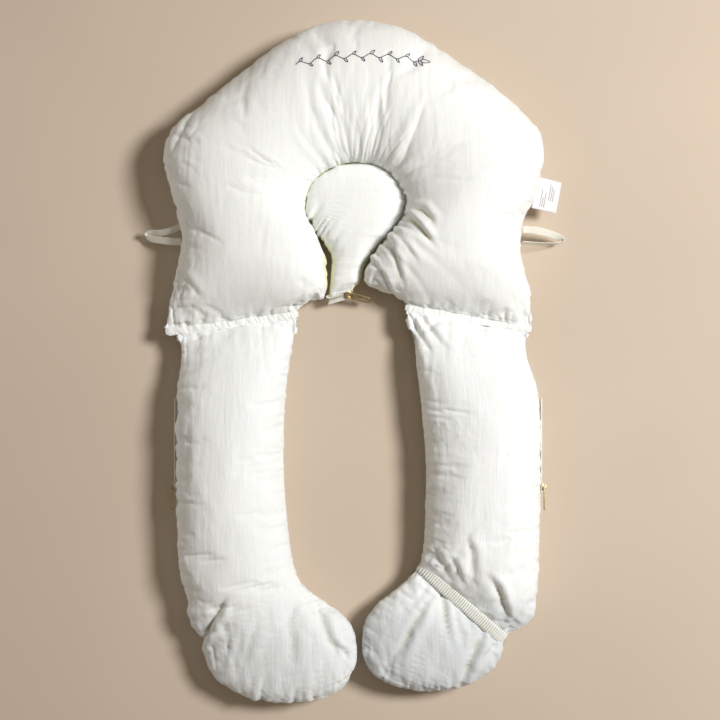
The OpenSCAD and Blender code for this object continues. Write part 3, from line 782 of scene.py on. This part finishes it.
def build_covers():
    """The covers' grids, blown up as cloth inside their seams and then made finer."""
    grids = {
        "bolster": sections(BOLSTER, SEAM_Z, 211, 96),
        "left": sections(LEFT_ARM, SEAM_Z, 141, 68),
        "right": sections(RIGHT_ARM, SEAM_Z, 141, 68),
        "pad": sections(PAD, PAD_SEAM_Z, 76, 56, 2.8)}
    spare = {name: looseness(g) for name, g in grids.items()}
    for name, centre, size in (("bolster", (30, 125), 60), ("bolster", (0, 290), 80),
                               ("left", (-100, -330), 80), ("right", (110, -300), 90)):
        g = grids[name]
        spare[name] = np.maximum(spare[name], 0.9 * near(g[:, :, 0], g[:, :, 1], *centre, size))
    spare["pad"] *= 0.25
    d0, _, _, _ = lengths(grids["bolster"])
    over_head = smooth(220, 300, grids["bolster"][:, :, 1])
    spare["bolster"] *= 1 - (0.4 + 0.4 * over_head) * bell(d0, 40)
    spare["bolster"] *= 1 - 0.4 * bell(np.minimum(*from_ends(grids["bolster"])), 40)
    # the pad, the head's outer seam and the tips' ends are smoother than the cloth makes them
    calmed = {"pad": np.ones(grids["pad"].shape[:2]), "bolster": over_head * bell(d0, 36)}
    for name in ("left", "right"):
        e0, e1 = from_ends(grids[name])
        y = grids[name][:, :, 1]
        spare[name] *= 1 - 0.5 * smooth(-300, -345, y) - 0.4 * smooth(60, 20, e1)
        spare[name] *= 1 - 0.4 * bell(e0, 40)
        calmed[name] = 0.6 * smooth(-350, -385, y)
    jobs = {}
    for number, name in enumerate(grids):
        start = started(grids[name], 300 + 50 * number)
        held = 0.0
        if name == "right":  # the elastic holds the cloth under it
            _, off = band_place(start[:, :, 0], start[:, :, 1])
            held = np.exp(-((off / 9) ** 4))
        jobs[name] = (start, cloth_on("cloth_" + name, start, spare[name], held))
    grids = inflate(jobs, cap=11.0, calmed=calmed)
    return {name: finer(on_the_bed(g)) for name, g in grids.items()}


GRIDS = build_covers()


def gap_shade_layer(grid, d, seam_z, wide):
    """Painted shade in a cover's seam gaps: wide below its seam, and on the seam's own edge above it."""
    return np.where(grid[:, :, 2] < seam_z, np.exp(-((d / wide) ** 4)), bell(d, 4))


def finished_covers():
    g = GRIDS["bolster"]
    # painted shade in the gaps below the bolster's inner seam, away from the arms
    gap_shade = gap_shade_layer(g, lengths(g)[1], SEAM_Z, 24) * smooth(74, 96, g[:, :, 1])
    bolster, _ = dressed("bolster_cover", g, bolster_detail(g), COTTON, gap_shade)
    # painted shade on both arms: their tips darker and greyer through the shade layer
    g = GRIDS["left"]
    left, _ = dressed("left_arm_cover", g, arm_detail(g, 400, LEFT_FOLDS), CREASED_COTTON,
                      shade=0.4 * smooth(-262, -330, g[:, :, 1]))
    g = GRIDS["right"]
    right, right_shape = dressed("right_arm_cover", g, arm_detail(g, 500, RIGHT_FOLDS, pinch=True),
                                 CREASED_COTTON, shade=0.75 * smooth(-240, -320, g[:, :, 1]))
    g = GRIDS["pad"]
    d0, d1, _, _ = lengths(g)
    # painted shade in the gaps below both seams of the pad
    gap_shade = gap_shade_layer(g, np.minimum(d0, d1), PAD_SEAM_Z, 18)
    pad, _ = dressed("head_pad_cover", g, pad_detail(g), COTTON, gap_shade)
    return bolster, left, right, pad, right_shape


def curl_span(line, before, after):
    """Two points on either side of a tip's hinge line."""
    ux, uy = direction(line)
    away = np.array([-uy, ux] if ux < 0 else [uy, -ux])  # across the line, towards the tip
    middle = np.sum(line, axis=0) / 2
    return [(*((middle + away * d) * MM).tolist(), 0) for d in (-before, after)]


bolster_cover, left_cover, right_cover, pad_cover, right_shape = finished_covers()
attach(bolster_cover, "bolster")
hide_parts("bolster_top_panel", "bolster_base_panel", "bolster_stuffing")

for cover, side, span in ((left_cover, "left", curl_span(LEFT_CURL, 26, 30)),
                          (right_cover, "right", curl_span(RIGHT_CURL, 2, 40))):
    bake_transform(cover)
    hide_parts(*[f"{side}_{part}_{layer}" for part in ("arm", "tip")
                         for layer in ("top_panel", "base_panel", "stuffing")])

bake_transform(pad_cover)
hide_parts("bulb_top_panel", "bulb_base_panel", "bulb_stuffing",
            "neck_top_panel", "neck_base_panel", "neck_stuffing")


# ---- tubes, ribbons and strips
def curve_through(points, count):
    """Points evenly spaced along a smooth curve through the given ones."""
    dense = through(points, np.linspace(0, len(points) - 1, 40 * len(points)))
    return read_at(dense, np.linspace(0, run_along(dense)[-1], count))


def swept(name, path, side, half_width, half_height, around, material, power=2.0):
    """A closed bar along a path: a superellipse half_width wide along side (a direction for each
    point) and half_height high across it. Either half size may be a number for each point, or for
    each point and angle."""
    run = unit(np.gradient(path, axis=0))
    side = unit(side - (side * run).sum(1, keepdims=True) * run)
    up = np.cross(run, side)
    c, s = squarish(around, power)
    w, h = (np.broadcast_to(size[:, None] if np.ndim(size) == 1 else size, (len(path), around))
            for size in (half_width, half_height))
    grid = path[:, None] + side[:, None] * (w * c)[:, :, None] + up[:, None] * (h * s)[:, :, None]
    return piece(name, mesh_of(name, grid), material)


def height_over(obj):
    """A function that gives the height of an object's top over a plan point."""
    tree = BVHTree.FromPolygons([v.co for v in obj.data.vertices],
                                [p.vertices[:] for p in obj.data.polygons])

    def height(x, y):
        hit = tree.ray_cast(Vector((x * MM, y * MM, 0.3)), Vector((0, 0, -1)))
        return hit[0].z / MM if hit[0] else SEAM_Z

    return height


# ---- gathered seams to the arms
def seam_strip(side, outer, inner, seed):
    """The gathered seam allowance between bolster and arm, a soft welt that ripples. outer and inner
    are its ends: x and y on the bolster's side, then x and y on the arm's side."""
    count, around, fade_length = 420, 24, 5
    t = np.linspace(0, 1, count)[:, None]
    ends = np.array([outer, inner], float)
    edges = ends[0] * (1 - t) + ends[1] * t
    high_edge, low_edge = edges[:, :2], edges[:, 2:]
    length = float(np.linalg.norm(high_edge[-1] - high_edge[0]))
    s = t[:, 0] * length
    half = np.linalg.norm(high_edge - low_edge, axis=1) / 2 + 0.35 * noise(s / 3.5, 0.7, seed + 7)
    path = np.zeros((count, 3))
    path[:, :2] = (high_edge + low_edge) / 2
    path[:, 2] = SEAM_Z + 0.2 + 0.4 * noise(s / 7, 0.6, seed + 2) + 0.3 * noise(s / 4.5, 0.2, seed)
    fade = np.minimum(smooth(0, fade_length, s), smooth(length, length - fade_length, s))[:, None]
    side_on = np.cos(2 * np.pi * np.arange(around) / around)[None, :] + 0 * t
    slant = s[:, None] + 2.5 * side_on
    high = 2.4 - 0.8 * valleys(slant / 5.0, side_on * 0.4, seed + 4)
    high = high - 0.2 * valleys(slant / 2.6, side_on, seed + 5) + 0.3 * noise(slant / 11, 0.4, seed + 6)
    strip = swept(side + "_seam_gathers", path, np.hstack([unit(high_edge - low_edge), 0 * t]),
                  half[:, None] * (0.55 + 0.45 * fade), high * (0.4 + 0.6 * fade),
                  around, COTTON, power=2.4)
    # painted shade: a little of the fold tint over the whole strip, to dull it
    layer(strip.data, "crease", np.full(len(strip.data.vertices), 0.08))
    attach(strip, "bolster")
    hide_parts(side + "_seam_band")


seam_strip("left", (-221.3, 40.0, -220.2, 29.6), (-67.0, 61.0, -66.0, 50.4), 610)
seam_strip("right", (205.2, 43.0, 203.8, 32.8), (58.6, 69.0, 57.2, 58.0), 620)


# ---- the elastic in its casing
def elastic_band():
    """A shirred casing that goes round the right arm where its tip starts."""
    rib_pitch, steps, across, half_width = 2.9, 6, 14, 7.2
    ux, uy = direction(ELASTIC)
    along_arm = np.array([-uy, ux, 0.0])
    places = (right_shape - (*ELASTIC[0], 0)) @ along_arm
    ring = np.argmin(np.abs(places).mean(axis=1))
    loop = right_shape[ring] - along_arm * (places[ring][:, None])
    for _ in range(60):
        loop = (loop + np.roll(loop, 1, 0) + np.roll(loop, -1, 0)) / 3
    closed = np.concatenate([loop, loop[:1]])
    girth = run_along(closed)[-1]
    count = int(girth / rib_pitch) * steps
    path = read_at(closed, np.linspace(0, girth, count, endpoint=False))
    outward = np.cross(unit(np.roll(path, -1, 0) - np.roll(path, 1, 0)), along_arm)
    outward *= np.sign(((path - path.mean(axis=0)) * outward).sum())
    number = np.arange(count)
    groove = np.maximum(0, -np.cos(2 * np.pi * number / steps)) ** 2
    rib = 0.9 - 1.7 * groove + 0.25 * noise(number / 9, 0.5, 700)
    half_w = half_width + 0.5 * noise(number / 14, 0.3, 701)
    v = 2 * np.arange(across + 1) / across - 1  # from one edge of the band to the other
    lift = 2.3 + 1.5 * (1 - np.abs(v) ** 4) + rib[:, None] * (1 - 0.65 * np.abs(v) ** 5)
    aside = along_arm * (half_w[:, None] * v)[:, :, None]
    outside = path[:, None] + outward[:, None] * lift[:, :, None] + aside
    inside = (path - outward * 0.6)[:, None] + 0.94 * aside
    grid = np.concatenate([outside, inside[:, ::-1]], axis=1)
    grid[:, :, 2] = np.maximum(grid[:, :, 2], 0.4)
    band = piece("elastic_band", mesh_of("elastic_band", grid, ring=True), CASING)
    # painted shade in the grooves between the ribs
    layer(band.data, "crease", np.repeat(groove, grid.shape[1]))
    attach(band, "right_arm")
    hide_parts("elastic_casing", "elastic_core")


elastic_band()


# ---- loops of tape
def tape_loop(side, points, lay):
    """A doubled tape. points are the middle line of the tape; lay is the direction of its width at
    each of them."""
    count, half_width, half_thick = 120, 4.3, 0.55
    width = through(lay, np.linspace(0, len(lay) - 1, count))
    s = np.linspace(0, 1, count)
    loop = swept(side + "_tape_loop", curve_through(points, count), width,
                 half_width + 0.25 * noise(s * 14, 0.5, 800),
                 half_thick + 0.08 * noise(s * 20, 0.5, 801), 16, LOOP_TAPE, power=4.0)
    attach(loop, side + "_side_loop")
    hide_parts(side + "_loop")


tape_loop("left",
          [(-203, 140, 35), (-214, 140.5, 31), (-228, 142.5, 24), (-240, 145, 17), (-245.5, 148.5, 15),
           (-240, 151.5, 19), (-229, 151, 26), (-217, 152.5, 32), (-203, 158, 36)],
          [(0.1, 1, 0.1), (0.1, 1, 0.1), (0.1, 1, 0.15), (0, 0.95, 0.3), (0.3, 0.6, 0.7),
           (0, 0.7, 0.7), (-0.2, 0.8, 0.6), (-0.3, 0.7, 0.7), (-0.2, 0.8, 0.6)])
tape_loop("right",
          [(194.5, 154, 36), (207, 153.5, 35.5), (222, 151, 30), (236, 147, 22), (243.5, 143, 16),
           (238, 139.5, 17), (222, 138.5, 26), (207, 138.5, 33), (194, 139, 35.5)],
          [(0, 1, 0), (0, 1, 0.1), (0.15, 1, 0.1), (0.3, 0.9, 0.3), (0.2, 0.4, 0.9),
           (0, 0.1, 1), (0, 0.15, 1), (0, 0.2, 1), (0, 0.3, 1)])


# ---- care label
def care_label():
    """A curled label with short rules in place of print. u goes out from the seam, v along it."""
    width, length, thick, turn = 30.0, 37.0, 0.5, math.radians(-11)
    root = (204.5, 179.0, SEAM_Z + 0.4)
    nx, ny, steps = 14, 22, 24
    v, u = np.meshgrid(np.arange(ny + 1) / ny, np.arange(nx + 1) / nx, indexing="ij")
    curl = 1.6 * np.sin(math.pi * v) * u - 2.2 * u * v + 0.7 * u * u * np.sin(5 * v)
    top = np.stack([width * u, length * v, -8.0 * u ** 1.3 + curl], axis=2)

    def placed(points):
        x, y, z = np.moveaxis(np.asarray(points), -1, 0)
        c, s = math.cos(turn), math.sin(turn)
        return np.stack([root[0] + x * c - y * s, root[1] + x * s + y * c, root[2] + z], axis=-1)

    def surface(u, v):
        row = through(top, np.array([v * ny]))[0]
        return through(row, np.array([u * nx]))[0] + (0, 0, 0.3)

    grid = np.concatenate([top, top[:, ::-1] - (0, 0, thick)], axis=1)
    label = piece("care_label_cloth", mesh_of("care_label_cloth", placed(grid)), LABEL_CLOTH)
    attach(label, "label")
    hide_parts("care_label")
    lines = []
    for row, (u, v0, v1) in enumerate(((0.30, 0.1, 0.66), (0.38, 0.1, 0.40), (0.46, 0.1, 0.58),
                                       (0.60, 0.34, 0.86), (0.68, 0.34, 0.80), (0.76, 0.34, 0.72))):
        path = placed([surface(u, v) for v in np.linspace(v0, v1, steps)])
        lines.append(swept(f"label_rule_{row}", path, np.tile([1.0, 0.0, 0.0], (steps, 1)),
                           0.35, 0.08, 8, INK))
    rules = joined("label_rules", lines)
    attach(rules, "label")


care_label()


# ---- stitched sprig
def stitched_sprig():
    """A waved vine with small leaves in back stitch, across the head end."""
    waves, reach = 7, 0.90  # the vine's waves, and how much of the arc it takes up
    thread, stitch_length = 0.55, 2.2
    height = height_over(bolster_cover)
    strokes = []

    def on_vine(t):
        """A point of the vine, and the directions along and across it. t goes from 0 to 1."""
        x = -67 + 154 * t
        slope = -0.0028 * (x - 16)
        run = np.array([1, slope]) / math.hypot(1, slope)
        up = np.array([-run[1], run[0]])
        sway = 2.2 * math.sin(2 * np.pi * waves * t / reach)
        return np.array([x, 344.5 - 0.0014 * (x - 16) ** 2]) + up * sway, run, up

    def leaf(base, run, up, tilt, size):
        out = run * math.cos(tilt) + up * math.sin(tilt)
        flank = -run * math.sin(tilt) + up * math.cos(tilt)
        strokes.append([base + out * size * (0.5 - 0.5 * math.cos(a))
                        + flank * size * 0.26 * math.sin(a) * (0.75 + 0.25 * math.cos(a))
                        for a in np.linspace(0, 2 * np.pi, 33)])

    strokes.append([on_vine(reach * k / 300)[0] for k in range(301)])
    for k in range(2 * waves):
        base, run, up = on_vine(reach * (k + 0.5) / (2 * waves))
        tilt = (0.85 + 0.1 * math.sin(3 * k)) * (1 if k % 2 == 0 else -1)
        leaf(base, run, up, tilt, 5.8 + 0.7 * math.sin(5 * k))
    base, run, up = on_vine(reach)
    for tilt, size, along in ((0.95, 8.0, 0.0), (0.05, 10.0, 2.5), (-0.85, 7.5, 0.0)):
        leaf(base + run * along, run, up, tilt, size)
    strokes.append([base + run * 2.5 * k / 12 for k in range(13)])
    made = []
    for number, stroke in enumerate(strokes):
        flat = np.array([[x, y, height(x, y) + 0.25] for x, y in stroke])
        length = run_along(flat)[-1]
        path = curve_through(flat, max(24, int(length / 0.35)))
        s = np.linspace(0, length, len(path))
        half = thread * (0.72 + 0.28 * np.abs(np.sin(np.pi * s / stitch_length)) ** 0.5)
        made.append(swept(f"sprig_{number}", path, np.tile([0.0, 0.0, 1.0], (len(path), 1)),
                          half, half, 8, THREAD))
    sprig = joined("stitched_sprig", made)
    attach(sprig, "bolster")
    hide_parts("stitched_motif")


stitched_sprig()


# ---- zips
def softened(node, name, body, material, width):
    """A copy of a CAD node with its edges rounded over, in its place."""
    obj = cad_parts[node].copy()
    obj.data = obj.data.copy()
    for key in list(obj.keys()):
        del obj[key]
    obj.parent = None
    obj.hide_render = obj.hide_viewport = False
    bpy.context.scene.collection.objects.link(obj)
    obj.name = name
    bm = bmesh.new()
    bm.from_mesh(obj.data)
    bmesh.ops.remove_doubles(bm, verts=bm.verts, dist=1e-6)
    bmesh.ops.dissolve_limit(bm, angle_limit=math.radians(3), verts=bm.verts, edges=bm.edges)
    bm.to_mesh(obj.data)
    bm.free()
    obj.data.materials.clear()
    obj.data.materials.append(material)
    bevel = obj.modifiers.new("round", "BEVEL")
    bevel.width, bevel.segments, bevel.limit_method = width * MM, 2, "ANGLE"
    bevel.angle_limit = math.radians(35)
    select_only(obj)
    bpy.ops.object.modifier_apply(modifier="round")
    obj.data.polygons.foreach_set("use_smooth", [True] * len(obj.data.polygons))
    obj.data.set_sharp_from_angle(angle=math.radians(40))
    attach(obj, body)
    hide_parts(node)


for side, holder in (("pad", "neck"), ("left", "left_arm"), ("right", "right_arm")):
    for part, look, body, slot, material, width in (
            ("tapes", "tape_cloth", holder, "zip_tape", TAPE, 0.15),
            ("teeth", "coil", holder, "zip_teeth", NYLON, 0.18),
            ("stops", "stop_pieces", holder, "zip_metal", BRASS, 0.15),
            ("slider", "slider_metal", side + "_slider", "zip_metal", BRASS, 0.3),
            ("pull", "pull_metal", side + "_pull", "zip_metal", BRASS, 0.3)):
        softened(f"{side}_zip_{part}", f"{side}_zip_{look}", body, material, width)
